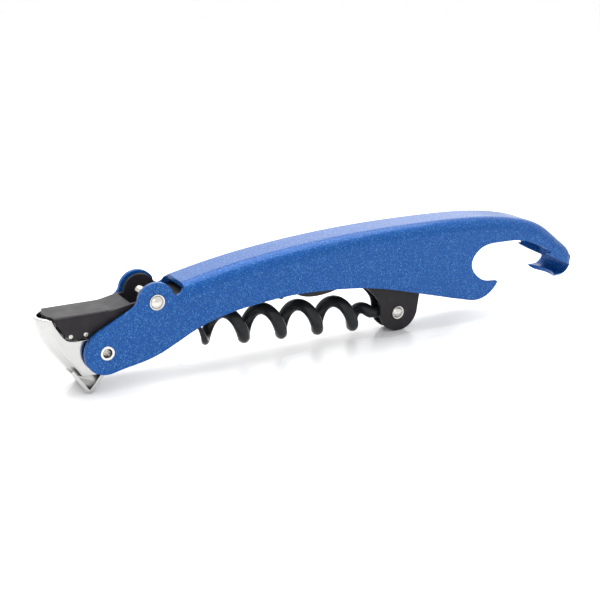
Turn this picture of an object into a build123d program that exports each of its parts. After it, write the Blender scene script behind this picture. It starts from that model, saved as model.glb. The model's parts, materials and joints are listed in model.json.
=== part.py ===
from build123d import *
from math import cos, sin, radians
import os

# Lever corkscrew, folded shut, standing on its foot and on the ear of its screw bracket.
# Millimetres. X runs along the handle towards the cap lifter, Z is up, Y = 0 is the middle plane.
# The pieces are drawn with X = 0 near the middle; MIDDLE_X then puts the origin under the exact
# middle of the overall length, on the table.

# --- Driving dimensions -------------------------------------------------------------
MIDDLE_X = 2.125
HANDLE_WIDTH = 12.0        # outside width of the folded sheet handle
HANDLE_SHEET = 1.1
HANDLE_BEND = 3.0          # outside radius of the two long bends
LIP_RADIUS = 3.8           # outside radius of the curled cap lifter lip
INNER_WIDTH = 8.8          # outside width of the black frame and of the foot
INNER_SHEET = 0.8
BRACKET_WIDTH = 4.4        # outside width of the ears that hold the screw
SADDLE_TOP = 17.3          # height of the flat top of the frame's front end
ARM_GAP = 1.0              # clearance between the handle's back and the frame nested under it

FRAME_PIVOT = Vector(-42.1, 0, 18.0)
FOOT_PIVOT = Vector(-53.3, 0, 8.8)
SCREW_PIVOT = Vector(20.1, 0, 4.6)

FRAME_RIVET_R = 1.1
FOOT_TUBE_R = 1.2
FOOT_BORE_R = 0.95
SCREW_RIVET_R = 1.0
RUNNING_FIT = 0.05         # radial clearance of every turning hole

SCREW_WIRE_R = 1.42
SCREW_OUTER_R = 4.4
SCREW_PITCH = 9.4
SCREW_TILT = 4.0           # degrees that the screw's axis rises towards its point
SCREW_RISE = 0.4           # how far the coil's axis stands above the shank's

CUTTER_COUNT = 4
CUTTER_FIRST_X = -60.3
CUTTER_PITCH = 3.15
CUTTER_Z = 13.1
CUTTER_R = 2.2
CUTTER_THICKNESS = 0.6
CUTTER_OFFSET = 1.9        # how far each wheel sits from the middle plane
CUTTER_PIN_R = 0.45
SPACER_R = 0.8

SIDE = Plane.XZ
INNER_HALF = INNER_WIDTH / 2
HANDLE_HALF = HANDLE_WIDTH / 2
HANDLE_INSIDE = HANDLE_HALF - HANDLE_SHEET


# --- Helpers ------------------------------------------------------------------------
def polar(centre, radius, angle):
    """Point on a circle drawn in the side view round a pivot."""
    return (centre.X + radius * cos(radians(angle)), centre.Z + radius * sin(radians(angle)))


def round_pivot(centre, radius, start, sweep):
    """Arc in the side view, concentric with a pivot."""
    return CenterArc((centre.X, centre.Z), radius, start, sweep)


def side_block(lines, half_width):
    """Solid with the given side view outline, symmetric about the middle plane."""
    return extrude(SIDE * make_face(lines), half_width, both=True)


def across(centre, radius, y_from, y_to):
    """Cylinder across the corkscrew, from one Y to another."""
    length = y_to - y_from
    middle = Vector(centre.X, (y_from + y_to) / 2, centre.Z)
    return Pos(middle) * Rot(90, 0, 0) * Cylinder(radius, length)


def ring(centre, inner, outer, y_from, y_to):
    return across(centre, outer, y_from, y_to) - across(centre, inner, y_from - 1, y_to + 1)


def parallel(curve, distance, start=0.0, steps=10):
    """Spline that runs at a constant distance under a side view curve."""
    points = []
    for step in range(steps + 1):
        along = start + (1 - start) * step / steps
        place = curve.position_at(along)
        ahead = curve.tangent_at(along)
        points.append((place.X + ahead.Y * distance, place.Y - ahead.X * distance))
    return Spline(*points, tangents=(curve.tangent_at(start), curve.tangent_at(1)))


def domed_head(centre, radius, height, y_face, outward):
    """Low dome on the outside of a plate: a slice of a sphere."""
    ball_r = (radius ** 2 + height ** 2) / (2 * height)
    ball = Pos(centre.X, y_face + outward * (height - ball_r), centre.Z) * Sphere(ball_r)
    room = Pos(centre.X, y_face + outward * height, centre.Z) * Box(4 * radius, 2 * height, 4 * radius)
    return ball & room


def solid_rivet(centre, shank_r, head_r, head_height, y_face):
    rivet = across(centre, shank_r, -y_face, y_face)
    for outward in (-1, 1):
        rivet += domed_head(centre, head_r, head_height, outward * y_face, outward)
    return rivet


def one_solid(shape):
    """A boolean can hand back a list that holds one solid: take that solid."""
    solids = shape.solids()
    return solids[0] if len(solids) == 1 else Compound(children=list(solids))


# --- Handle -------------------------------------------------------------------------
TIP_X = 70.7
LIP_CENTRE = (TIP_X - LIP_RADIUS, 10.9)
WEB_START_X = -36.1
VALLEY_X = -37.5           # lowest point of the dip between the ears and the bent back

back_line = Spline(
    (-38.0, 20.05), (-23.5, 23.0), (-7.0, 25.0), (10.0, 26.0), (27.0, 26.1),
    (42.0, 25.5), (53.0, 23.9), (61.0, 21.0), (67.3, 16.2), (TIP_X, LIP_CENTRE[1]),
    tangents=((1.0, 0.24), (0.0, -1.0)),
)


def under(curve, floor):
    """Closed side view outline of everything below a back line."""
    start = curve.position_at(0)
    end = curve.position_at(1)
    low_start = (start.X, floor)
    low_end = (end.X, floor)
    return curve + Line((end.X, end.Y), low_end) + Line(low_end, low_start) + Line(low_start, (start.X, start.Y))


def bent_block(curve, half_width, bend):
    """Block under a back line with both long top edges rounded."""
    block = side_block(under(curve, -2), half_width)
    edges = block.edges().filter_by(GeomType.BSPLINE)
    return fillet(edges, bend)


def handle_outline():
    """Side view of the walls: ears, belly, horn, notch and lifter arm. It runs past the back line."""
    ear = round_pivot(FRAME_PIVOT, 4.15, 168, -138)
    foot_end = round_pivot(FOOT_PIVOT, 4.8, 126, 160)
    throat = Spline(
        foot_end @ 0, (-52.3, 14.75), (-48.3, 16.8), ear @ 0,
        tangents=(-(foot_end % 0), ear % 0),
    )
    valley = ThreePointArc(ear @ 1, (VALLEY_X, 18.75), (WEB_START_X, 20.2))
    over = Polyline((WEB_START_X, 20.2), (WEB_START_X, 32), (75, 32), (75, 6.9), (69.2, 10.3))
    horn = CenterArc((40.2, 12.8), 7.3, -104.5, 76)
    belly = Spline(
        foot_end @ 1, (-44.0, 5.8), (-32.6, 10.8), (-20.0, 13.7), (-8.0, 14.5), (6.0, 13.6), horn @ 0,
        tangents=(foot_end % 1, horn % 0),
    )
    notch = Spline(
        (46.1, 9.6), (43.5, 9.8), (40.6, 11.3), (38.6, 14.7), (40.7, 18.0), (47.2, 19.05), (55.6, 18.0),
        (62.8, 14.3), (69.2, 10.3),
        tangents=((-1, 0.02), (1.9, -0.9)),
    )
    point = Line(horn @ 1, (46.1, 9.6))
    return throat + ear + valley + over + notch + point + horn + belly + foot_end


def lip_band():
    """Side view of the sheet that curls under the tip."""
    outer = CenterArc(LIP_CENTRE, LIP_RADIUS, 0, -90)
    inner = CenterArc(LIP_CENTRE, LIP_RADIUS - HANDLE_SHEET, 0, -90)
    end_x = 64.6
    foot = Polyline(outer @ 1, (end_x, (outer @ 1).Y), (end_x, (inner @ 1).Y), inner @ 1)
    root = Polyline(inner @ 0, ((inner @ 0).X, 12.0), ((outer @ 0).X, 12.0), outer @ 0)
    return outer + foot + inner + root


def lip_envelope():
    """Solid block round the lip. Its outer edges carry the same bend as the back above."""
    top = 13.0
    outer = CenterArc(LIP_CENTRE, LIP_RADIUS, 0, -90)
    low_end = (LIP_CENTRE[0] - 12, (outer @ 1).Y)
    rest = Polyline(outer @ 1, low_end, (low_end[0], top), ((outer @ 0).X, top), outer @ 0)
    block = side_block(outer + rest, HANDLE_HALF)
    outside = block.faces().filter_by(GeomType.CYLINDER)[0]
    arcs = outside.edges().filter_by(GeomType.CIRCLE)
    upright = block.edges().filter_by(Axis.Z).filter_by(lambda e: e.center().X > LIP_CENTRE[0])
    flat = block.edges().filter_by(Axis.X).filter_by(lambda e: e.center().Z < LIP_CENTRE[1])
    return fillet(arcs + upright + flat, HANDLE_BEND)


def make_handle():
    walls = side_block(handle_outline(), HANDLE_HALF)
    ears_room = Pos((VALLEY_X - 70) / 2, 0, 15) * Box(VALLEY_X + 70, HANDLE_WIDTH, 50)
    skin = bent_block(back_line, HANDLE_HALF, HANDLE_BEND)
    inner_line = parallel(back_line, HANDLE_SHEET)
    core = bent_block(inner_line, HANDLE_INSIDE, HANDLE_BEND - HANDLE_SHEET)
    ears_core = Pos((WEB_START_X - 60) / 2 - 4.9, 0, 15) * Box(WEB_START_X + 71, 2 * HANDLE_INSIDE, 60)
    shell = walls & (skin + ears_room)
    shell = shell - core - ears_core
    lip = side_block(lip_band(), HANDLE_HALF) & lip_envelope()
    lip -= Pos(58.5, 0, 8) * Cylinder(8.2, 6)
    shell = shell + lip
    shell -= across(FRAME_PIVOT, FRAME_RIVET_R, -10, 10)
    shell -= across(FOOT_PIVOT, FOOT_TUBE_R, -10, 10)
    return shell


def make_foot_eyelet():
    """Hollow rivet with a rolled flange on each side."""
    flange_r = 1.55
    flange = 0.35
    end = HANDLE_HALF + flange
    tube = across(FOOT_PIVOT, FOOT_TUBE_R, -end, end)
    for outward in (-1, 1):
        low, high = sorted((outward * HANDLE_HALF, outward * end))
        tube += across(FOOT_PIVOT, flange_r, low, high)
    rims = tube.edges().filter_by(GeomType.CIRCLE).filter_by(lambda e: abs(e.radius - flange_r) < 0.01)
    tube = fillet(rims.filter_by(lambda e: abs(abs(e.center().Y) - end) < 0.01), flange * 0.7)
    return tube - across(FOOT_PIVOT, FOOT_BORE_R, -end - 1, end + 1)


# --- Black frame --------------------------------------------------------------------
SADDLE_FRONT = -63.5
SADDLE_REAR = -47.0
FRAME_EAR_R = 3.6
BRACKET_EAR_R = 5.2
BRACKET_EAR_CENTRE = Vector(20.55, 0, BRACKET_EAR_R)
BRACKET_REAR = 26.7
ARM_START = -38.6


def saddle_front():
    """Side view of the front edge and lower front corner of the saddle's plates."""
    return Spline(
        (SADDLE_FRONT, SADDLE_TOP), (-62.45, 14.9), (-61.0, 12.9), (-58.0, 12.2),
        tangents=((0.2, -1), (1, 0)),
    )


def frame_plate_outline(arm_top):
    """Side view of the plates, from the saddle over the pivot ear to the screw bracket."""
    ear_top = round_pivot(FRAME_PIVOT, FRAME_EAR_R, 178, -148)
    ear_low = round_pivot(FRAME_PIVOT, FRAME_EAR_R, 250, 40)
    corner = saddle_front()
    low_edge = Line(corner @ 1, (-50.2, 12.2))
    rise = Spline((-50.2, 12.2), ear_low @ 0, tangents=((1, 0.25), ear_low % 0))
    step = Polyline(ear_low @ 1, (-36.0, 15.2), (-9.6, 14.9))
    belly = Spline((-9.6, 14.9), (-8.2, 14.0), (-6.6, 13.25), (2.0, 13.5), (5.6, 14.7), tangents=((1, -0.3), (1, 0.4)))
    flare = Spline(
        (7.6, 14.7), (12.3, 11.0), (14.7, 8.3), polar(BRACKET_EAR_CENTRE, BRACKET_EAR_R, 184),
        tangents=((1, -0.5), (0.05, -1)),
    )
    bridge = Line((5.6, 14.7), (7.6, 14.7))
    ear = round_pivot(BRACKET_EAR_CENTRE, BRACKET_EAR_R, 184, 172)
    top_end = arm_top.position_at(1)
    back = Polyline(ear @ 1, (BRACKET_REAR - 0.3, 9.0), (top_end.X, top_end.Y))
    top_start = arm_top.position_at(0)
    tail = Polyline((top_start.X, top_start.Y), (ARM_START, 18.4), ear_top @ 1)
    saddle = Polyline(ear_top @ 0, (SADDLE_REAR, 18.0), (-50.5, SADDLE_TOP), (SADDLE_FRONT, SADDLE_TOP))
    return (
        corner + low_edge + rise + ear_low + step + belly + bridge + flare + ear + back + arm_top
        + tail + ear_top + saddle
    )


def frame_plan(inset):
    """Plan view of the frame: wide at the pivot, necked down to the screw bracket."""
    wide = INNER_HALF - inset
    narrow = BRACKET_WIDTH / 2 - inset
    front = -75
    rear = BRACKET_REAR + 5
    upper_neck = Spline((2.0, wide), (9.5, narrow), tangents=((1, 0), (1, 0)))
    lower_neck = Spline((9.5, -narrow), (2.0, -wide), tangents=((-1, 0), (-1, 0)))
    edge_a = Line((front, wide), (2.0, wide))
    edge_b = Line((9.5, narrow), (rear, narrow))
    end = Line((rear, narrow), (rear, -narrow))
    edge_c = Line((rear, -narrow), (9.5, -narrow))
    edge_d = Line((2.0, -wide), (front, -wide))
    start = Line((front, -wide), (front, wide))
    return make_face(edge_a + upper_neck + edge_b + end + edge_c + lower_neck + edge_d + start)


def frame_prism(inset):
    return Pos(0, 0, -5) * extrude(frame_plan(inset), 40)


def saddle_plan():
    """Plan view of the saddle's top: its free end has a rounded nose between two shoulders."""
    w = INNER_HALF
    nose = Spline(
        (SADDLE_FRONT, -w), (-63.6, -3.2), (-64.1, -2.2), (-64.55, -0.6), (-64.5, 1.0), (-64.1, 2.4), (-63.6, 3.3),
        (SADDLE_FRONT, w),
        tangents=((-0.2, 1), (0.2, 1)),
    )
    return make_face(nose + Polyline((SADDLE_FRONT, w), (SADDLE_REAR, w), (SADDLE_REAR, -w), (SADDLE_FRONT, -w)))


def make_saddle_top():
    """Flat top of the saddle, turned up a little where it meets the ears."""
    sheet = INNER_SHEET
    top = [(-70, SADDLE_TOP), (-50.5, SADDLE_TOP), (SADDLE_REAR, 18.0)]
    low = [(SADDLE_REAR, 18.0 - sheet), (-50.5, SADDLE_TOP - sheet), (-70, SADDLE_TOP - sheet)]
    band = side_block(Polyline(*top, *low, close=True), INNER_HALF)
    plan = extrude(saddle_plan(), 40)
    return band & plan


def make_frame():
    arm_line = parallel(back_line, HANDLE_SHEET + ARM_GAP)
    stop = min(range(1001), key=lambda i: abs(arm_line.position_at(i / 1000).X - BRACKET_REAR)) / 1000
    points = [arm_line.position_at(stop * i / 6) for i in range(7)]
    points[0] = Vector(ARM_START + 1.2, points[0].Y - 0.35)
    arm_top = Spline(*[(p.X, p.Y) for p in points])
    plates = side_block(frame_plate_outline(arm_top), INNER_HALF)
    plates = plates & (frame_prism(0) - frame_prism(INNER_SHEET))
    low_points = [(p.X, p.Y - INNER_SHEET) for p in points]
    low_line = Spline(*low_points)
    web_lines = (
        arm_top + Line(arm_top @ 1, low_line @ 1) + low_line + Line(low_line @ 0, arm_top @ 0)
    )
    web = side_block(web_lines, INNER_HALF) & frame_prism(0)
    frame = plates + web + make_saddle_top()
    frame += side_block(round_pivot(Vector(-12.1, 0, 14.2), 0.75, 0, 360), INNER_HALF) & (
        frame_prism(0) - frame_prism(INNER_SHEET))
    frame -= across(FRAME_PIVOT, FRAME_RIVET_R + RUNNING_FIT, -10, 10)
    frame -= across(SCREW_PIVOT, SCREW_RIVET_R, -10, 10)
    for centre in cutter_centres():
        frame -= across(centre, CUTTER_PIN_R, -10, 10)
    crease = frame.edges().filter_by(Axis.X).filter_by(
        lambda e: abs(e.center().Z - SADDLE_TOP) < 0.01 and abs(abs(e.center().Y) - INNER_HALF) < 0.01)
    return fillet(crease, 0.7)


# --- Foil cutter --------------------------------------------------------------------
def cutter_centres():
    return [Vector(CUTTER_FIRST_X + i * CUTTER_PITCH, 0, CUTTER_Z) for i in range(CUTTER_COUNT)]


def cutter_side(index):
    """The wheels stand alternately left and right of the middle plane."""
    return -1 if index % 2 else 1


def make_cutter_wheel(index):
    """Thin disc ground to a double bevel."""
    centre = cutter_centres()[index]
    y = cutter_side(index) * CUTTER_OFFSET
    half = CUTTER_THICKNESS / 2
    bevel = 0.9
    profile = Polyline(
        (0, -half), (CUTTER_R - bevel, -half), (CUTTER_R, 0), (CUTTER_R - bevel, half), (0, half), close=True)
    disc = revolve(make_face(profile), Axis.Y)
    return Pos(centre.X, y, centre.Z) * disc - across(centre, CUTTER_PIN_R + RUNNING_FIT, -10, 10)


def make_cutter_pin(index):
    end = INNER_HALF + 0.12
    pin = across(cutter_centres()[index], CUTTER_PIN_R, -end, end)
    return chamfer(pin.edges().filter_by(GeomType.CIRCLE), 0.1)


def make_cutter_spacer(index, long_one):
    """Tube that keeps a wheel in its place on the pin."""
    side = cutter_side(index)
    face = CUTTER_OFFSET * side + (-side if long_one else side) * (CUTTER_THICKNESS / 2 + 0.04)
    wall = (-side if long_one else side) * (INNER_HALF - INNER_SHEET)
    low, high = sorted((face, wall))
    return ring(cutter_centres()[index], CUTTER_PIN_R, SPACER_R, low, high)


# --- Screw --------------------------------------------------------------------------
def screw_frame():
    tilt = radians(SCREW_TILT)
    return Plane(origin=SCREW_PIVOT, x_dir=(sin(tilt), 0, cos(tilt)), z_dir=(-cos(tilt), 0, sin(tilt)))


def coil_point(turn_angle):
    """Centre of the wire, with the first low point of the coil at 180 degrees."""
    centre_r = SCREW_OUTER_R - SCREW_WIRE_R
    first_low = 11.15
    along = first_low + SCREW_PITCH * (turn_angle - 180) / 360
    angle = radians(turn_angle)
    return Vector(centre_r * cos(angle) + SCREW_RISE, centre_r * sin(angle), along)


def coil_heading(turn_angle):
    return (coil_point(turn_angle + 0.5) - coil_point(turn_angle - 0.5)).normalized()


def wire_section(turn_angle, radius):
    return Plane(origin=coil_point(turn_angle), z_dir=coil_heading(turn_angle)) * Circle(radius)


def make_screw():
    coil_start = 150
    taper_start = 180 + 3 * 360 + 228
    coil_end = 180 + 4 * 360 + 158
    point_r = 0.25
    coil_height = SCREW_PITCH * (taper_start - coil_start) / 360
    coil_path = Helix(SCREW_PITCH, coil_height, SCREW_OUTER_R - SCREW_WIRE_R)
    coil_path = Pos(SCREW_RISE, 0, coil_point(coil_start).Z) * Rot(0, 0, coil_start) * coil_path
    coil = sweep(wire_section(coil_start, SCREW_WIRE_R), path=coil_path, is_frenet=True)
    sections = []
    taper_steps = 16
    for i in range(taper_steps + 1):
        part = i / taper_steps
        radius = SCREW_WIRE_R + (point_r - SCREW_WIRE_R) * part ** 1.3
        sections.append(wire_section(taper_start + (coil_end - taper_start) * part, radius))
    point = loft(sections)
    neck_end = Vector(0, 0, 6.2)
    neck_path = Spline(coil_point(coil_start), neck_end, tangents=(-coil_heading(coil_start), Vector(0, 0, -1)))
    neck = sweep(wire_section(coil_start, SCREW_WIRE_R), path=neck_path)
    shank = Pos(0, 0, 3.7) * Cylinder(SCREW_WIRE_R, 5.0)
    eye = Rot(90, 0, 0) * Cylinder(2.5, 2.0)
    flat = Pos(0, 0, 3.0) * Box(6, 2.0, 6)
    screw = coil + point + neck + (shank & flat) + eye + (shank & (Pos(0, 0, 5.6) * Box(6, 6, 1.2)))
    screw = screw_frame() * screw
    return screw - across(SCREW_PIVOT, SCREW_RIVET_R + RUNNING_FIT, -10, 10)


# --- Foot ---------------------------------------------------------------------------
FOOT_SHEET = 0.8
FOOT_EAR_R = 3.0


def foot_front(height):
    """X of the foremost point of the foot's bowed front wall at a height."""
    line = Spline((-66.5, 17.4), (-66.0, 14.2), (-64.6, 10.4), (-62.3, 7.0), (-60.2, 4.4))
    low, high = 0.0, 1.0
    for _ in range(40):
        middle = (low + high) / 2
        if (line @ middle).Y > height:
            low = middle
        else:
            high = middle
    return (line @ middle).X


def foot_section(height, inset):
    """Plan view of the foot at a height: a bowed front wall and two straight sides."""
    half = INNER_HALF - inset
    front = foot_front(height) + inset
    shoulder = front + 1.5
    bow = ThreePointArc((shoulder, -half + 0.9), (front, 0), (shoulder, half - 0.9))
    corner_a = RadiusArc(bow @ 1, (shoulder + 1.0, half), 1.2)
    corner_b = RadiusArc((shoulder + 1.0, -half), bow @ 0, 1.2)
    rest = Polyline((shoulder + 1.0, half), (-40, half), (-40, -half), (shoulder + 1.0, -half))
    return Pos(0, 0, height) * make_face(bow + corner_a + rest + corner_b)


def foot_side_outline():
    """Side view of the foot's walls: the rim runs just outside the saddle's edge."""
    rim = Spline(
        (-63.9, 17.0), (-62.9, 14.75), (-61.35, 12.55), (-58.0, 11.85),
        tangents=((0.2, -1), (1, 0)),
    )
    top = Polyline((-70, 17.0), (-63.9, 17.0))
    ledge = Line((-58.0, 11.85), (-53.3, 11.85))
    ear = round_pivot(FOOT_PIVOT, 3.05, 90, -150)
    tail = Polyline(ear @ 1, (-52.0, 4.6), (-53.6, 3.4), (-58.6, 3.9), (-60.0, 4.5), (-70, 4.5), (-70, 17.0))
    return top + rim + ledge + ear + tail


def make_foot():
    levels = (18.0, 15.0, 12.0, 9.0, 6.5, 4.0)
    outer = loft([foot_section(z, 0) for z in levels])
    inner = loft([foot_section(z, FOOT_SHEET) for z in (18.5, 15.0, 12.0, 9.0, 6.5, 3.9)])
    walls = (outer - inner) & side_block(foot_side_outline(), INNER_HALF + 1)
    apex = (-56.9, 0.05)
    bend = 0.62
    tooth_line = FilletPolyline((-60.4, 5.4), apex, (-52.9, 4.9), radius=bend)
    tooth = extrude(SIDE * trace(tooth_line, FOOT_SHEET), INNER_HALF - 0.1, both=True)
    foot = walls + tooth
    return foot - across(FOOT_PIVOT, FOOT_TUBE_R + RUNNING_FIT, -10, 10)


# --- Write every piece --------------------------------------------------------------
def make_parts():
    inside = HANDLE_INSIDE
    washer = 0.4
    bracket_inside = BRACKET_WIDTH / 2 - INNER_SHEET
    parts = {
        "handle_shell": make_handle(),
        "frame_rivet": solid_rivet(FRAME_PIVOT, FRAME_RIVET_R, 1.7, 0.8, HANDLE_HALF),
        "foot_eyelet": make_foot_eyelet(),
        "inner_frame": make_frame(),
        "worm_rivet": solid_rivet(SCREW_PIVOT, SCREW_RIVET_R, 1.6, 0.75, BRACKET_WIDTH / 2),
        "worm": make_screw(),
        "chrome_foot": make_foot(),
        "frame_washer_left": ring(FRAME_PIVOT, FRAME_RIVET_R, 2.7, -inside, -inside + washer),
        "frame_washer_right": ring(FRAME_PIVOT, FRAME_RIVET_R, 2.7, inside - washer, inside),
        "foot_washer_left": ring(FOOT_PIVOT, FOOT_TUBE_R, 2.6, -inside, -inside + washer),
        "foot_washer_right": ring(FOOT_PIVOT, FOOT_TUBE_R, 2.6, inside - washer, inside),
        "worm_washer_left": ring(SCREW_PIVOT, SCREW_RIVET_R, 2.4, -bracket_inside, -1.08),
        "worm_washer_right": ring(SCREW_PIVOT, SCREW_RIVET_R, 2.4, 1.08, bracket_inside),
    }
    for index in range(CUTTER_COUNT):
        number = index + 1
        parts[f"cutter_wheel_{number}"] = make_cutter_wheel(index)
        parts[f"cutter_pin_{number}"] = make_cutter_pin(index)
        parts[f"cutter_spacer_long_{number}"] = make_cutter_spacer(index, True)
        parts[f"cutter_spacer_short_{number}"] = make_cutter_spacer(index, False)
    return parts


os.makedirs("parts", exist_ok=True)
for node, shape in make_parts().items():
    export_step(Pos(-MIDDLE_X, 0, 0) * one_solid(shape), f"parts/{node}.step")
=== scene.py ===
"""Folding lever corkscrew: the finished look, built around its CAD frame."""

import json
import math

import bmesh
import bpy
from mathutils import Matrix, Vector


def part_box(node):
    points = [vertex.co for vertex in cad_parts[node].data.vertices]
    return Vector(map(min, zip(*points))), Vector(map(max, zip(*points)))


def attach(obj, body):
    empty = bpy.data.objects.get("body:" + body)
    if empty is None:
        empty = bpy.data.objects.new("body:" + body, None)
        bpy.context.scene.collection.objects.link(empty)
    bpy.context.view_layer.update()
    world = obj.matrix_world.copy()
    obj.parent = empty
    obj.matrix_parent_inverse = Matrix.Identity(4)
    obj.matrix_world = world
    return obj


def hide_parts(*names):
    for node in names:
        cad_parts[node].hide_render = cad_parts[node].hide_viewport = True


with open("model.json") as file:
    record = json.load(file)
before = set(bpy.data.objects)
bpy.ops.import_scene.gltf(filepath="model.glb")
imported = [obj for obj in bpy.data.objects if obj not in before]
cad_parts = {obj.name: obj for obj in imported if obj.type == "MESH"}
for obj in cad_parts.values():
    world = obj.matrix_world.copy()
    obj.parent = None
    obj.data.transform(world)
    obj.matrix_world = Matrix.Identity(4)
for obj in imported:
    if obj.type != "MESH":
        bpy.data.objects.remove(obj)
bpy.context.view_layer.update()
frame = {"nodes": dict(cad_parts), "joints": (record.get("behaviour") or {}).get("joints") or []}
PIVOTS = {joint["name"]: Vector(joint["pos_m"]) for joint in frame["joints"]}
CUTTERS = (1, 2, 3, 4)

bl_info = {
    "name": "Lever corkscrew",
    "version": (1, 0, 0),
    "blender": (4, 5, 0),
    "location": "3D View > Sidebar > Corkscrew",
    "description": "Builds a folding lever corkscrew around its CAD frame",
    "category": "Object",
}


# --- Fixed sizes, in metres ---------------------------------------------------------
WELD = 2e-6                # CAD points nearer than this are one point
FLAT_SLACK = 4e-7          # how far two faces may stand apart and still be one plane
SQUARE = 1 - 1e-7          # least part of a normal along an axis that counts as square to it
STRIP = 0.0037             # length of the strips that flat faces are cut into
FOOT_EDGE = 0.00011

WORM_STEPS = 720
WORM_SIDES = 28
SHANK_TURNS = 0.98         # length of the shank, in turns before the first low point
NECK_START = -0.55         # turns between which the wire leaves the axis for the coil
NECK_END = -0.08
EYE_RADIUS = 0.0025
EYE_BORE = 0.00105
EYE_HALF = 0.001           # half the thickness of the flattened eye
EYE_ROUNDING = 0.0003
FLAT_START = 0.0052        # distance from the rivet at which the shank starts to flatten
FLAT_LENGTH = 0.0022
FLAT_STEP = 0.0004         # how much wider the shank is where it starts to flatten

FRAME_SHANK = 0.0011
FRAME_DOME = 0.0008
WORM_SHANK = 0.0010
WORM_DOME = 0.00075
PIN_DOME = 0.00012
EYELET_WALL = 0.0012       # outside radius of the hollow rivet's tube

WHEEL_RADIUS = 0.0022
WHEEL_HALF = 0.0003        # half the thickness of a cutter wheel
WHEEL_BORE = 0.0005
WHEEL_BEVEL = 0.0009       # width of the ground bevel
WHEEL_EDGE = 0.00003       # depth of the rounding on the cutting edge
WHEEL_TIP = 0.00002        # half the width of that rounding

SIDES = 64                 # facets round a rivet
WHEEL_SIDES = 72
FLOOR_HALF = 10
FLOOR_CELLS = 24
SENSOR_WIDTH = 36          # millimetres
CAMERA_PLACE = (-0.13165, -0.2246, 0.0944)
CAMERA_HEADING = (0.461, 0.8317, -0.309)
SOFTBOXES = (              # name, place, width and height, the point it faces
    ("overhead", (0.02, 0.10, 0.42), (0.55, 0.40), (0, 0, 0)),
    ("back", (0.36, 0.62, 0.27), (0.7, 0.35), (0, 0, 0.01)),
    ("front", (-0.42, -0.45, 0.30), (0.40, 0.40), (0, 0, 0.01)),
)


# --- Sizes and colours that the panel shows -----------------------------------------
class HandleSettings(bpy.types.PropertyGroup):
    """Paint and edges of the folded sheet handle."""

    paint: bpy.props.FloatVectorProperty(
        name="Paint", description="Ground colour of the handle's paint",
        subtype="COLOR", size=3, min=0, max=1, default=(0.003, 0.086, 0.345))
    deep: bpy.props.FloatVectorProperty(
        name="Deep paint", description="Colour between the metal flakes",
        subtype="COLOR", size=3, min=0, max=1, default=(0.002, 0.056, 0.235))
    # Painted glint: the pale colour laid on the flakes that stand in for flakes catching the light.
    flake: bpy.props.FloatVectorProperty(
        name="Flake", description="Colour of the brightest metal flakes",
        subtype="COLOR", size=3, min=0, max=1, default=(0.11, 0.33, 0.62))
    flake_width: bpy.props.FloatProperty(
        name="Flake width", description="Width of one metal flake",
        unit="LENGTH", min=0.00002, default=0.00015)
    edge: bpy.props.FloatProperty(
        name="Edge rounding", description="Rounding of the sheet's cut edges",
        unit="LENGTH", min=0, default=0.00016)


class CoatingSettings(bpy.types.PropertyGroup):
    """Black coatings of the frame and the worm."""

    frame: bpy.props.FloatVectorProperty(
        name="Frame coating", description="Colour of the frame's satin coating",
        subtype="COLOR", size=3, min=0, max=1, default=(0.013, 0.011, 0.013))
    worm: bpy.props.FloatVectorProperty(
        name="Worm coating", description="Colour of the worm's non-stick coating",
        subtype="COLOR", size=3, min=0, max=1, default=(0.010, 0.011, 0.013))
    edge: bpy.props.FloatProperty(
        name="Edge rounding", description="Rounding of the frame's cut edges",
        unit="LENGTH", min=0, default=0.00012)


class WormSettings(bpy.types.PropertyGroup):
    """Sizes of the coiled worm."""

    wire: bpy.props.FloatProperty(
        name="Wire radius", description="Radius of the round wire",
        unit="LENGTH", min=0.0002, default=0.00142)
    outside: bpy.props.FloatProperty(
        name="Coil radius", description="Outside radius of the coil",
        unit="LENGTH", min=0.001, default=0.0044)
    pitch: bpy.props.FloatProperty(
        name="Pitch", description="Length of one turn of the coil",
        unit="LENGTH", min=0.001, default=0.0094)
    first_turn: bpy.props.FloatProperty(
        name="First turn", description="Distance from the rivet to the coil's first low point",
        unit="LENGTH", min=0.001, default=0.01115)
    turns: bpy.props.FloatProperty(
        name="Turns", description="Turns from the first low point to the tip", min=1, default=4.44)
    taper: bpy.props.FloatProperty(
        name="Taper turns", description="Turns over which the wire thins to its tip",
        min=0.1, default=0.81)
    tip: bpy.props.FloatProperty(
        name="Tip radius", description="Radius of the wire at its tip",
        unit="LENGTH", min=0.00002, default=0.00016)
    rise: bpy.props.FloatProperty(
        name="Rise", description="How far the coil's axis stands above the shank's",
        unit="LENGTH", default=0.0004)
    tilt: bpy.props.FloatProperty(
        name="Tilt", description="How far the worm's axis rises towards its tip",
        subtype="ANGLE", default=math.radians(4))


class RivetSettings(bpy.types.PropertyGroup):
    """Sizes of the rivet heads and the rolled eyelet."""

    frame_head: bpy.props.FloatProperty(
        name="Frame rivet head", description="Radius of the big rivet's heads",
        unit="LENGTH", min=0.0005, default=0.0017)
    worm_head: bpy.props.FloatProperty(
        name="Worm rivet head", description="Radius of the worm rivet's heads",
        unit="LENGTH", min=0.0005, default=0.0016)
    pin_head: bpy.props.FloatProperty(
        name="Cutter pin head", description="Radius of the cutter pins' ends",
        unit="LENGTH", min=0.0001, default=0.00045)
    eyelet: bpy.props.FloatProperty(
        name="Eyelet flange", description="Radius of the hollow rivet's rolled flange",
        unit="LENGTH", min=0.0005, default=0.00155)
    eyelet_bore: bpy.props.FloatProperty(
        name="Eyelet bore", description="Radius of the hole through the hollow rivet",
        unit="LENGTH", min=0.0003, default=0.00095)


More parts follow.
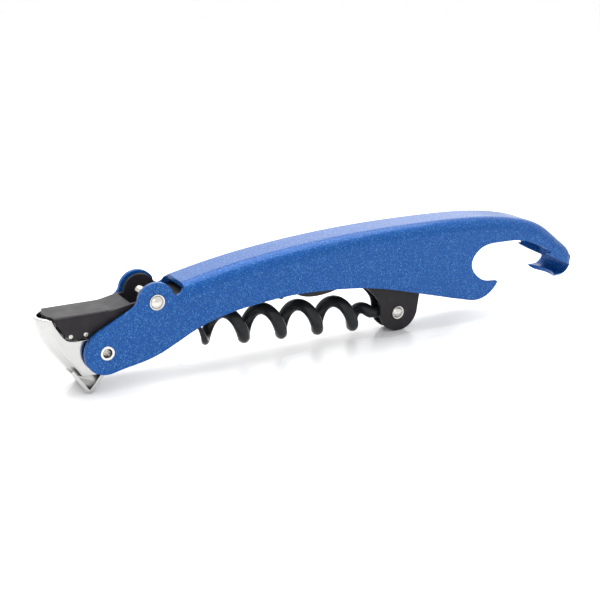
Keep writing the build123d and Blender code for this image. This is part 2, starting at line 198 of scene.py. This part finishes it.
class StageSettings(bpy.types.PropertyGroup):
    """Floor, lights and camera."""

    floor: bpy.props.FloatVectorProperty(
        name="Floor", description="Colour of the floor",
        subtype="COLOR", size=3, min=0, max=1, default=(0.93, 0.93, 0.93))
    overhead: bpy.props.FloatProperty(
        name="Overhead light", description="Power of the big softbox above",
        unit="POWER", min=0, default=2.0)
    front: bpy.props.FloatProperty(
        name="Front light", description="Power of the softbox beside the camera",
        unit="POWER", min=0, default=0.35)
    back: bpy.props.FloatProperty(
        name="Back light", description="Power of the softbox behind",
        unit="POWER", min=0, default=0.8)
    surround: bpy.props.FloatProperty(
        name="Surround", description="Strength of the white surroundings", min=0, default=1.05)
    lens: bpy.props.FloatProperty(
        name="Lens", description="Focal length of the camera in millimetres", min=10, default=71.5)


# --- Node helpers -------------------------------------------------------------------
def new_material(name, colour, metallic=0.0, roughness=0.5):
    material = bpy.data.materials.new(name)
    material.use_nodes = True
    shader = material.node_tree.nodes["Principled BSDF"]
    shader.inputs["Base Color"].default_value = (*colour, 1)
    shader.inputs["Metallic"].default_value = metallic
    shader.inputs["Roughness"].default_value = roughness
    return material, shader


def connect(tree, source, target):
    """Links a socket, or sets the target to a plain value."""
    if isinstance(source, bpy.types.NodeSocket):
        tree.links.new(source, target)
    else:
        target.default_value = source


def object_place(tree):
    return tree.nodes.new("ShaderNodeTexCoord").outputs["Object"]


def noise(tree, place, scale, detail=3.0, roughness=0.5):
    node = tree.nodes.new("ShaderNodeTexNoise")
    node.inputs["Scale"].default_value = scale
    node.inputs["Detail"].default_value = detail
    node.inputs["Roughness"].default_value = roughness
    tree.links.new(place, node.inputs["Vector"])
    return node.outputs["Fac"]


def remap(tree, value, low, high, low_result, high_result, smooth=False):
    """Maps low..high of a value to two results, clamped."""
    node = tree.nodes.new("ShaderNodeMapRange")
    node.interpolation_type = "SMOOTHSTEP" if smooth else "LINEAR"
    for socket, number in zip(node.inputs[:5], (value, low, high, low_result, high_result)):
        connect(tree, number, socket)
    return node.outputs["Result"]


def blend_colours(tree, factor, first, second):
    node = tree.nodes.new("ShaderNodeMix")
    node.data_type = "RGBA"
    tree.links.new(factor, node.inputs["Factor"])
    colour_sockets = [socket for socket in node.inputs if socket.type == "RGBA"]
    for socket, colour in zip(colour_sockets, (first, second)):
        connect(tree, colour if isinstance(colour, bpy.types.NodeSocket) else (*colour, 1), socket)
    return next(socket for socket in node.outputs if socket.type == "RGBA")


def relief(tree, height, strength, distance):
    node = tree.nodes.new("ShaderNodeBump")
    node.inputs["Strength"].default_value = strength
    node.inputs["Distance"].default_value = distance
    tree.links.new(height, node.inputs["Height"])
    return node.outputs["Normal"]


# --- Finishes -----------------------------------------------------------------------
def flake_paint(settings):
    """Blue paint full of fine metal flakes, under a clear coat, with glints painted on some of the flakes.
    """
    material, shader = new_material("blue_flake_paint", settings.paint, metallic=0.3, roughness=0.4)
    tree = material.node_tree
    place = object_place(tree)
    flakes = tree.nodes.new("ShaderNodeTexVoronoi")
    flakes.inputs["Scale"].default_value = 1 / settings.flake_width
    tree.links.new(place, flakes.inputs["Vector"])
    chance = tree.nodes.new("ShaderNodeSeparateColor")
    tree.links.new(flakes.outputs["Color"], chance.inputs["Color"])
    depth = remap(tree, chance.outputs["Red"], 0.2, 0.9, 0, 1)
    ground = blend_colours(tree, depth, settings.deep, settings.paint)
    # Painted glint: a random few flakes get the pale flake colour, which stands in for the light they
    # reflect; the flakes and their darker ground are the paint's own colour.
    painted_flake_glint = remap(tree, chance.outputs["Green"], 0.84, 1.0, 0, 0.65)
    tree.links.new(blend_colours(tree, painted_flake_glint, ground, settings.flake), shader.inputs["Base Color"])
    tree.links.new(remap(tree, chance.outputs["Blue"], 0, 1, 0.24, 0.46), shader.inputs["Roughness"])
    tree.links.new(relief(tree, chance.outputs["Red"], 0.45, 0.00003), shader.inputs["Normal"])
    shader.inputs["Specular IOR Level"].default_value = 0.1
    shader.inputs["Coat Weight"].default_value = 0.32
    shader.inputs["Coat Roughness"].default_value = 0.12
    return material


def satin_black(name, colour, roughness):
    """Baked black coating with a fine pebble and slightly uneven gloss."""
    material, shader = new_material(name, colour, roughness=roughness)
    tree = material.node_tree
    place = object_place(tree)
    cloud = noise(tree, place, 420, detail=5)
    pebble = noise(tree, place, 4800, detail=2)
    rubbed = tuple(min(1, channel * 1.8 + 0.004) for channel in colour)
    wear = remap(tree, cloud, 0.42, 0.75, 0, 0.7)
    gloss = remap(tree, cloud, 0.3, 0.7, roughness - 0.05, roughness + 0.07)
    tree.links.new(blend_colours(tree, wear, colour, rubbed), shader.inputs["Base Color"])
    tree.links.new(gloss, shader.inputs["Roughness"])
    tree.links.new(relief(tree, pebble, 0.25, 0.00003), shader.inputs["Normal"])
    shader.inputs["Specular IOR Level"].default_value = 0.24
    return material


def bright_metal(name, colour, roughness, mark_scale, stain=0.86):
    """Plated or ground metal with faint handling marks."""
    material, shader = new_material(name, colour, metallic=1.0, roughness=roughness)
    tree = material.node_tree
    place = object_place(tree)
    marks = noise(tree, place, mark_scale, detail=6, roughness=0.6)
    haze = noise(tree, place, 180, detail=3)
    dulled = tuple(channel * stain for channel in colour)
    handling = remap(tree, marks, 0.45, 0.7, 0, 0.7)
    gloss = remap(tree, haze, 0.3, 0.7, roughness * 0.75, roughness * 1.4)
    tree.links.new(blend_colours(tree, handling, colour, dulled), shader.inputs["Base Color"])
    tree.links.new(gloss, shader.inputs["Roughness"])
    tree.links.new(relief(tree, marks, 0.15, 0.000003), shader.inputs["Normal"])
    return material


def washer_nylon():
    colour = (0.66, 0.66, 0.63)
    material, shader = new_material("washer_nylon", colour, roughness=0.5)
    tree = material.node_tree
    cloud = noise(tree, object_place(tree), 900, detail=3)
    tree.links.new(blend_colours(tree, cloud, colour, (0.56, 0.56, 0.52)), shader.inputs["Base Color"])
    tree.links.new(remap(tree, cloud, 0.3, 0.7, 0.42, 0.58), shader.inputs["Roughness"])
    return material


def pale_floor(colour):
    """Smooth white board with a soft sheen."""
    material, shader = new_material("floor_board", colour, roughness=0.3)
    tree = material.node_tree
    cloud = noise(tree, object_place(tree), 9, detail=4)
    tree.links.new(remap(tree, cloud, 0.3, 0.7, 0.22, 0.32), shader.inputs["Roughness"])
    shader.inputs["Specular IOR Level"].default_value = 0.35
    return material


# --- Mesh helpers -------------------------------------------------------------------
def place_mesh(name, mesh, material):
    """New object at the origin that shows a mesh."""
    mesh.name = name
    mesh.materials.clear()
    mesh.materials.append(material)
    piece = bpy.data.objects.new(name, mesh)
    bpy.context.scene.collection.objects.link(piece)
    return piece


def settle(piece):
    """Turns what a piece's modifiers make into its own plain mesh."""
    result = bpy.data.meshes.new_from_object(piece.evaluated_get(bpy.context.evaluated_depsgraph_get()))
    piece.modifiers.clear()
    result.name = piece.name
    piece.data = result
    return piece


def declare(piece, body, slot, *nodes):
    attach(piece, body)
    if nodes:
        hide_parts(*nodes)
    return piece


def lies_flat(edge):
    """True where the faces on both sides of an edge lie in one plane square to an axis."""
    if len(edge.link_faces) != 2:
        return False
    first, second = edge.link_faces
    if any(max(abs(part) for part in face.normal) < SQUARE for face in edge.link_faces):
        return False
    middle = edge.verts[0].co
    gaps = [abs((vert.co - middle).dot(first.normal)) for vert in second.verts]
    return max(gaps) < FLAT_SLACK and first.normal.dot(second.normal) > 0.5


def eased_copy(name, node, material, rounding, sharp_degrees=35):
    """A CAD node's shape with its cut edges eased, kept inside the node's box.

    Flat faces lose their inner edges and are cut into strips, so that the easing has plain polygons to
    work on.
    """
    mesh = frame["nodes"][node].data.copy()
    if "custom_normal" in mesh.attributes:
        mesh.attributes.remove(mesh.attributes["custom_normal"])
    shape = bmesh.new()
    shape.from_mesh(mesh)
    bmesh.ops.remove_doubles(shape, verts=shape.verts, dist=WELD)
    level = [edge for edge in shape.edges if lies_flat(edge)]
    bmesh.ops.dissolve_limit(shape, angle_limit=math.radians(1), verts=[], edges=level)
    low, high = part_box(node)
    cut = low.x + STRIP / 2
    while cut < high.x:
        everything = shape.verts[:] + shape.edges[:] + shape.faces[:]
        bmesh.ops.bisect_plane(
            shape, geom=everything, dist=1e-7, plane_co=(cut, 0, 0), plane_no=(1, 0, 0))
        cut += STRIP
    for face in shape.faces:
        face.smooth = True
    shape.to_mesh(mesh)
    shape.free()
    piece = place_mesh(name, mesh, material)
    easing = piece.modifiers.new("easing", "BEVEL")
    easing.width = rounding
    easing.segments = 2
    easing.limit_method = "ANGLE"
    easing.angle_limit = math.radians(sharp_degrees)
    easing.use_clamp_overlap = False
    piece.modifiers.new("shading", "WEIGHTED_NORMAL").keep_sharp = True
    settle(piece)
    for vertex in piece.data.vertices:
        vertex.co = [min(max(part, least), most) for part, least, most in zip(vertex.co, low, high)]
    return piece


def turned(profile, centre, steps=SIDES, closed=False):
    """Shape turned about an axis across the corkscrew from (radius, y) points."""
    shape = bmesh.new()
    rings = []
    for step in range(steps):
        angle = 2 * math.pi * step / steps
        across, up = math.cos(angle), math.sin(angle)
        rings.append([
            shape.verts.new((centre.x + r * across, centre.y + y, centre.z + r * up)) for r, y in profile])
    count = len(profile)
    for step, ring in enumerate(rings):
        following = rings[(step + 1) % steps]
        for i in range(count if closed else count - 1):
            j = (i + 1) % count
            shape.faces.new((ring[i], ring[j], following[j], following[i]))
    bmesh.ops.remove_doubles(shape, verts=shape.verts, dist=1e-7)
    bmesh.ops.recalc_face_normals(shape, faces=shape.faces)
    for face in shape.faces:
        face.smooth = True
    return shape


def corner_arc(centre, radius, start, end, steps=6):
    """(radius, y) points on an arc, angles in degrees."""
    points = []
    for step in range(steps + 1):
        angle = math.radians(start + (end - start) * step / steps)
        points.append((centre[0] + radius * math.cos(angle), centre[1] + radius * math.sin(angle)))
    return points


def join_shapes(name, shapes):
    mesh = bpy.data.meshes.new(name)
    whole = bmesh.new()
    for shape in shapes:
        part = bpy.data.meshes.new("part")
        shape.to_mesh(part)
        shape.free()
        whole.from_mesh(part)
        bpy.data.meshes.remove(part)
    whole.to_mesh(mesh)
    whole.free()
    return mesh


# --- Geometry node trees ------------------------------------------------------------
def new_tree(name, sockets):
    """Node tree with a geometry input and output and the given named inputs."""
    tree = bpy.data.node_groups.new(name, "GeometryNodeTree")
    tree.interface.new_socket("Geometry", in_out="INPUT", socket_type="NodeSocketGeometry")
    for label, kind in sockets:
        tree.interface.new_socket(label, in_out="INPUT", socket_type=kind)
    tree.interface.new_socket("Geometry", in_out="OUTPUT", socket_type="NodeSocketGeometry")
    return tree, tree.nodes.new("NodeGroupInput"), tree.nodes.new("NodeGroupOutput")


def calculate(tree, operation, first, second=0.0):
    node = tree.nodes.new("ShaderNodeMath")
    node.operation = operation
    connect(tree, first, node.inputs[0])
    connect(tree, second, node.inputs[1])
    return node.outputs[0]


def finish_tree(tree, geometry, material, group_out):
    """Smooth shading, plain geometry and the finish, at the end of every tree."""
    smooth = tree.nodes.new("GeometryNodeSetShadeSmooth")
    realize = tree.nodes.new("GeometryNodeRealizeInstances")
    paint = tree.nodes.new("GeometryNodeSetMaterial")
    tree.links.new(geometry, realize.inputs["Geometry"])
    tree.links.new(realize.outputs["Geometry"], smooth.inputs["Geometry"])
    tree.links.new(smooth.outputs["Geometry"], paint.inputs["Geometry"])
    tree.links.new(material, paint.inputs["Material"])
    tree.links.new(paint.outputs["Geometry"], group_out.inputs["Geometry"])


def worm_tree():
    """Tapered wire on a coil that runs out of a straight shank."""
    lengths = (
        "Wire radius", "Coil radius", "Pitch", "First turn", "Turns", "Taper turns", "Tip radius",
        "Shank turns", "Neck start", "Neck end", "Rise")
    sockets = [(label, "NodeSocketFloat") for label in lengths]
    sockets += [("Steps", "NodeSocketInt"), ("Sides", "NodeSocketInt"), ("Material", "NodeSocketMaterial")]
    tree, group_in, group_out = new_tree("worm_coil", sockets)
    value = group_in.outputs
    line = tree.nodes.new("GeometryNodeMeshLine")
    tree.links.new(value["Steps"], line.inputs["Count"])
    index = tree.nodes.new("GeometryNodeInputIndex").outputs["Index"]
    last = calculate(tree, "SUBTRACT", value["Steps"], 1.0)
    start = calculate(tree, "MULTIPLY", value["Shank turns"], -1.0)
    turn = remap(tree, index, 0.0, last, start, value["Turns"])
    centre = calculate(tree, "SUBTRACT", value["Coil radius"], value["Wire radius"])
    swing = remap(tree, turn, value["Neck start"], value["Neck end"], 0.0, centre, smooth=True)
    angle = calculate(tree, "MULTIPLY", calculate(tree, "ADD", turn, 0.5), 2 * math.pi)
    wound = calculate(tree, "MULTIPLY", turn, value["Pitch"])
    along = calculate(tree, "ADD", value["First turn"], wound)
    lift = remap(tree, turn, value["Neck start"], value["Neck end"], 0.0, value["Rise"], smooth=True)
    point = tree.nodes.new("ShaderNodeCombineXYZ")
    upward = calculate(tree, "MULTIPLY", swing, calculate(tree, "COSINE", angle))
    sideways = calculate(tree, "MULTIPLY", swing, calculate(tree, "SINE", angle))
    tree.links.new(calculate(tree, "ADD", upward, lift), point.inputs["X"])
    tree.links.new(sideways, point.inputs["Y"])
    tree.links.new(along, point.inputs["Z"])
    bend = tree.nodes.new("GeometryNodeSetPosition")
    tree.links.new(line.outputs["Mesh"], bend.inputs["Geometry"])
    tree.links.new(point.outputs["Vector"], bend.inputs["Position"])
    wire = tree.nodes.new("GeometryNodeMeshToCurve")
    tree.links.new(bend.outputs["Geometry"], wire.inputs["Mesh"])
    taper_start = calculate(tree, "SUBTRACT", value["Turns"], value["Taper turns"])
    taper = calculate(tree, "POWER", remap(tree, turn, taper_start, value["Turns"], 0.0, 1.0), 1.3)
    radius = remap(tree, taper, 0.0, 1.0, value["Wire radius"], value["Tip radius"])
    circle = tree.nodes.new("GeometryNodeCurvePrimitiveCircle")
    circle.inputs["Radius"].default_value = 1.0
    tree.links.new(value["Sides"], circle.inputs["Resolution"])
    tube = tree.nodes.new("GeometryNodeCurveToMesh")
    tube.inputs["Fill Caps"].default_value = True
    tree.links.new(wire.outputs["Curve"], tube.inputs["Curve"])
    tree.links.new(circle.outputs["Curve"], tube.inputs["Profile Curve"])
    tree.links.new(radius, tube.inputs["Scale"])
    finish_tree(tree, tube.outputs["Mesh"], value["Material"], group_out)
    return tree


def repeat_tree():
    """Sets one part on every point."""
    tree, group_in, group_out = new_tree("part_on_points", (
        ("Part", "NodeSocketObject"), ("Size", "NodeSocketFloat"), ("Material", "NodeSocketMaterial")))
    value = group_in.outputs
    part = tree.nodes.new("GeometryNodeObjectInfo")
    tree.links.new(value["Part"], part.inputs["Object"])
    repeat = tree.nodes.new("GeometryNodeInstanceOnPoints")
    tree.links.new(value["Geometry"], repeat.inputs["Points"])
    tree.links.new(part.outputs["Geometry"], repeat.inputs["Instance"])
    tree.links.new(value["Size"], repeat.inputs["Scale"])
    finish_tree(tree, repeat.outputs["Instances"], value["Material"], group_out)
    return tree


def grow(name, seed_mesh, tree, **inputs):
    """Runs a node tree on a mesh and keeps its result as a plain mesh."""
    piece = bpy.data.objects.new(name, seed_mesh)
    bpy.context.scene.collection.objects.link(piece)
    modifier = piece.modifiers.new("shape", "NODES")
    modifier.node_group = tree
    identifiers = {
        item.name: item.identifier for item in tree.interface.items_tree
        if item.item_type == "SOCKET" and item.in_out == "INPUT"}
    for label, number in inputs.items():
        modifier[identifiers[label.replace("_", " ")]] = number
    piece.update_tag()
    return settle(piece)


def repeat_part(name, shape, places, material):
    """One piece made of a part repeated at every place."""
    part = bpy.data.objects.new(name + "_part", join_shapes(name + "_part", [shape]))
    bpy.context.scene.collection.objects.link(part)
    tree = bpy.data.node_groups.get("part_on_points") or repeat_tree()
    seed = bpy.data.meshes.new(name)
    seed.from_pydata(places, [], [])
    piece = grow(name, seed, tree, Part=part, Size=1.0, Material=material)
    bpy.data.objects.remove(part)
    return piece


# --- Parts of the pieces ------------------------------------------------------------
ORIGIN = Vector((0, 0, 0))


def mirrored(profile):
    """The same (radius, y) points on the other side of the middle, in the opposite order."""
    return [(radius, -y) for radius, y in reversed(profile)]


def flatten_shank(mesh):
    """Presses the end of the shank flat, down to the thickness of the eye."""
    for vertex in mesh.vertices:
        flat = max(0.0, min(1.0, (FLAT_START - vertex.co.z) / FLAT_LENGTH))
        limit = EYE_HALF * 0.98 + (1 - flat) * FLAT_STEP
        if flat > 0:
            vertex.co.y = max(-limit, min(limit, vertex.co.y))


def eye_shape():
    """Flat ring about the origin, with rounded edges, that turns on the worm's rivet."""
    rim = EYE_RADIUS - EYE_ROUNDING
    face = EYE_HALF - EYE_ROUNDING
    lead = EYE_ROUNDING / 2
    profile = [(EYE_BORE, lead - EYE_HALF), (EYE_BORE, EYE_HALF - lead), (EYE_BORE + lead, EYE_HALF)]
    profile += corner_arc((rim, face), EYE_ROUNDING, 90, 0)
    profile += corner_arc((rim, -face), EYE_ROUNDING, 0, -90)
    profile += [(EYE_BORE + lead, -EYE_HALF)]
    return turned(profile, ORIGIN, WHEEL_SIDES, closed=True)


def wheel_shape():
    """Cutter wheel about the origin: a thin disc ground to a double bevel."""
    shoulder = WHEEL_RADIUS - WHEEL_BEVEL
    soft = WHEEL_RADIUS - WHEEL_BEVEL * 0.96
    flank = [
        (WHEEL_RADIUS - WHEEL_EDGE, WHEEL_TIP), (soft, WHEEL_HALF * 0.97), (shoulder, WHEEL_HALF),
        (WHEEL_BORE + WHEEL_HALF * 0.15, WHEEL_HALF), (WHEEL_BORE, WHEEL_HALF * 0.85)]
    return turned(mirrored(flank) + [(WHEEL_RADIUS, 0)] + flank, ORIGIN, WHEEL_SIDES, closed=True)


def rivet_shape(shank, radius, height, seat):
    """Whole rivet about the origin: a shank across with the same domed head on both ends."""
    rim = radius * 0.12
    ball = ((radius - rim) ** 2 + height ** 2) / (2 * height)
    sweep = math.degrees(math.asin((radius - rim) / ball))
    head = [(shank, seat), (radius - rim, seat)]
    head += corner_arc((radius - rim, seat + rim), rim, -90, 60, 6)
    head += corner_arc((0, seat + height - ball), ball, 90 - sweep * 0.96, 90, 14)
    return turned(mirrored(head) + head, ORIGIN)


def node_middle(node):
    low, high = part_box(node)
    return (low + high) / 2


def node_half_width(node):
    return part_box(node)[1].y


# --- Operators ----------------------------------------------------------------------
class CORKSCREW_OT_handle(bpy.types.Operator):
    """Paint the folded sheet handle and ease its edges"""

    bl_idname = "corkscrew.handle"
    bl_label = "Handle"

    def execute(self, context):
        settings = context.scene.corkscrew_handle
        shell = eased_copy("handle_painted_shell", "handle_shell", flake_paint(settings), settings.edge)
        declare(shell, "handle", "blue_paint", "handle_shell")
        return {"FINISHED"}


class CORKSCREW_OT_frame(bpy.types.Operator):
    """Coat the stamped frame with its saddle, arm and worm bracket"""

    bl_idname = "corkscrew.frame"
    bl_label = "Frame"

    def execute(self, context):
        settings = context.scene.corkscrew_coating
        coating = satin_black("frame_coating", settings.frame, 0.42)
        stamping = eased_copy("frame_coated_stamping", "inner_frame", coating, settings.edge)
        declare(stamping, "frame", "black_coating", "inner_frame")
        return {"FINISHED"}


class CORKSCREW_OT_foot(bpy.types.Operator):
    """Plate the hinged foot that stands on the bottle's rim"""

    bl_idname = "corkscrew.foot"
    bl_label = "Foot"

    def execute(self, context):
        chrome = bright_metal("foot_chrome", (0.53, 0.53, 0.52), 0.14, 900, stain=0.93)
        foot = eased_copy("foot_plated_trough", "chrome_foot", chrome, FOOT_EDGE)
        declare(foot, "foot", "foot_chrome", "chrome_foot")
        return {"FINISHED"}


class CORKSCREW_OT_worm(bpy.types.Operator):
    """Wind the worm and close its flattened eye round the rivet"""

    bl_idname = "corkscrew.worm"
    bl_label = "Worm"

    def execute(self, context):
        settings = context.scene.corkscrew_worm
        coating = satin_black("worm_coating", context.scene.corkscrew_coating.worm, 0.3)
        coil = grow(
            "worm_coil", bpy.data.meshes.new("worm_seed"), worm_tree(),
            Wire_radius=settings.wire, Coil_radius=settings.outside, Pitch=settings.pitch,
            First_turn=settings.first_turn, Turns=settings.turns, Taper_turns=settings.taper,
            Tip_radius=settings.tip, Shank_turns=SHANK_TURNS, Neck_start=NECK_START, Neck_end=NECK_END,
            Rise=settings.rise, Steps=WORM_STEPS, Sides=WORM_SIDES, Material=coating)
        flatten_shank(coil.data)
        wire = bmesh.new()
        wire.from_mesh(coil.data)
        mesh = join_shapes("worm", [wire, eye_shape()])
        tilt = settings.tilt
        across = (math.sin(tilt), 0, math.cos(tilt))
        along = (-math.cos(tilt), 0, math.sin(tilt))
        turn = Matrix((across, (0, 1, 0), along)).transposed().to_4x4()
        mesh.transform(Matrix.Translation(PIVOTS["worm_hinge"]) @ turn)
        bpy.data.objects.remove(coil)
        worm = place_mesh("worm_wound", mesh, coating)
        declare(worm, "worm", "worm_coating", "worm")
        return {"FINISHED"}


class CORKSCREW_OT_rivets(bpy.types.Operator):
    """Set the domed rivets, the hollow rivet and the cutter pins"""

    bl_idname = "corkscrew.rivets"
    bl_label = "Rivets"

    def execute(self, context):
        settings = context.scene.corkscrew_rivets
        nickel = bright_metal("rivet_nickel", (0.66, 0.64, 0.60), 0.2, 1500)
        rivets = (
            ("frame_rivet", "handle", settings.frame_head, FRAME_SHANK, FRAME_DOME),
            ("worm_rivet", "frame", settings.worm_head, WORM_SHANK, WORM_DOME))
        for node, body, radius, shank, height in rivets:
            shape = rivet_shape(shank, radius, height, node_half_width(node) - height)
            rivet = repeat_part(node + "_domed", shape, [node_middle(node)], nickel)
            declare(rivet, body, "rivet_nickel", node)
        names = [f"cutter_pin_{number}" for number in CUTTERS]
        seat = node_half_width(names[0]) - PIN_DOME
        shape = rivet_shape(settings.pin_head * 0.9, settings.pin_head, PIN_DOME, seat)
        pins = repeat_part("cutter_pins", shape, [node_middle(node) for node in names], nickel)
        declare(pins, "frame", "rivet_nickel", *names)
        self.make_eyelet(settings)
        return {"FINISHED"}

    def make_eyelet(self, settings):
        """Hollow rivet with both ends rolled over."""
        bright = bright_metal("eyelet_nickel", (0.80, 0.79, 0.77), 0.12, 1500)
        end = node_half_width("foot_eyelet")
        bore = settings.eyelet_bore
        roll = (settings.eyelet - bore) / 2
        middle = bore + roll
        profile = corner_arc((middle, end - roll), roll, 180, -30, 12) + [(EYELET_WALL, end - 1.3 * roll)]
        centre = node_middle("foot_eyelet")
        shape = turned(profile + mirrored(profile), Vector((centre.x, 0, centre.z)), closed=True)
        eyelet = place_mesh("foot_hollow_rivet", join_shapes("eyelet", [shape]), bright)
        declare(eyelet, "handle", "rivet_nickel", "foot_eyelet")


class CORKSCREW_OT_cutter(bpy.types.Operator):
    """Grind the four foil cutter wheels"""

    bl_idname = "corkscrew.cutter"
    bl_label = "Foil cutter"

    def execute(self, context):
        steel = bright_metal("cutter_steel", (0.60, 0.60, 0.61), 0.24, 2600)
        for number in CUTTERS:
            node = f"cutter_wheel_{number}"
            name = f"cutter_ground_wheel_{number}"
            wheel = repeat_part(name, wheel_shape(), [node_middle(node)], steel)
            declare(wheel, f"cutter_{number}", "cutter_steel", node)
        return {"FINISHED"}


class CORKSCREW_OT_washers(bpy.types.Operator):
    """Finish the washers and the cutter's spacer tubes"""

    bl_idname = "corkscrew.washers"
    bl_label = "Washers and spacers"

    def execute(self, context):
        finishes = {
            "washer": washer_nylon(),
            "spacer": bright_metal("spacer_steel", (0.42, 0.42, 0.43), 0.35, 1800)}
        for name, node in frame["nodes"].items():
            for kind, material in finishes.items():
                if kind in name:
                    node.material_slots[0].material = material
        return {"FINISHED"}


class CORKSCREW_OT_stage(bpy.types.Operator):
    """Lay the floor and set the softboxes and the camera"""

    bl_idname = "corkscrew.stage"
    bl_label = "Stage"

    def execute(self, context):
        settings = context.scene.corkscrew_stage
        shape = bmesh.new()
        bmesh.ops.create_grid(shape, x_segments=FLOOR_CELLS, y_segments=FLOOR_CELLS, size=FLOOR_HALF)
        mesh = bpy.data.meshes.new("floor")
        shape.to_mesh(mesh)
        shape.free()
        place_mesh("floor", mesh, pale_floor(settings.floor))
        for label, place, size, target in SOFTBOXES:
            self.softbox(label + "_softbox", place, size, target, getattr(settings, label))
        world = bpy.data.worlds.new("surround")
        world.use_nodes = True
        backing = world.node_tree.nodes["Background"]
        backing.inputs["Color"].default_value = (1, 1, 1, 1)
        backing.inputs["Strength"].default_value = settings.surround
        context.scene.world = world
        context.scene.view_settings.view_transform = "Standard"
        lens = bpy.data.cameras.new("camera")
        lens.lens = settings.lens
        lens.sensor_width = SENSOR_WIDTH
        camera = bpy.data.objects.new("camera", lens)
        camera.location = CAMERA_PLACE
        camera.rotation_euler = Vector(CAMERA_HEADING).to_track_quat("-Z", "Y").to_euler()
        context.scene.collection.objects.link(camera)
        context.scene.camera = camera
        return {"FINISHED"}

    def softbox(self, name, place, size, target, power):
        light = bpy.data.lights.new(name, "AREA")
        light.shape = "RECTANGLE"
        light.size, light.size_y = size
        light.energy = power
        box = bpy.data.objects.new(name, light)
        box.location = place
        box.rotation_euler = (Vector(target) - Vector(place)).to_track_quat("-Z", "Y").to_euler()
        bpy.context.scene.collection.objects.link(box)


# --- Panel and registration ---------------------------------------------------------
OPERATORS = (
    CORKSCREW_OT_stage, CORKSCREW_OT_handle, CORKSCREW_OT_frame, CORKSCREW_OT_foot, CORKSCREW_OT_worm,
    CORKSCREW_OT_rivets, CORKSCREW_OT_cutter, CORKSCREW_OT_washers)
SETTINGS = {
    "corkscrew_handle": HandleSettings,
    "corkscrew_coating": CoatingSettings,
    "corkscrew_worm": WormSettings,
    "corkscrew_rivets": RivetSettings,
    "corkscrew_stage": StageSettings,
}


class CORKSCREW_PT_panel(bpy.types.Panel):
    """Sizes, colours and build steps of the corkscrew"""

    bl_idname = "CORKSCREW_PT_panel"
    bl_label = "Corkscrew"
    bl_space_type = "VIEW_3D"
    bl_region_type = "UI"
    bl_category = "Corkscrew"

    def draw(self, context):
        for name, group in SETTINGS.items():
            box = self.layout.box()
            box.label(text=group.__doc__)
            for label in group.__annotations__:
                box.prop(getattr(context.scene, name), label)
        for operator in OPERATORS:
            self.layout.operator(operator.bl_idname)


def register():
    for cls in (*SETTINGS.values(), *OPERATORS, CORKSCREW_PT_panel):
        bpy.utils.register_class(cls)
    for name, group in SETTINGS.items():
        setattr(bpy.types.Scene, name, bpy.props.PointerProperty(type=group))


def unregister():
    for name in SETTINGS:
        delattr(bpy.types.Scene, name)
    for cls in reversed((*SETTINGS.values(), *OPERATORS, CORKSCREW_PT_panel)):
        bpy.utils.unregister_class(cls)


def main():
    """Builds every piece."""
    register()
    for operator in OPERATORS:
        step = operator.bl_idname.split(".")[1]
        getattr(bpy.ops.corkscrew, step)()


if __name__ == "__main__":
    main()
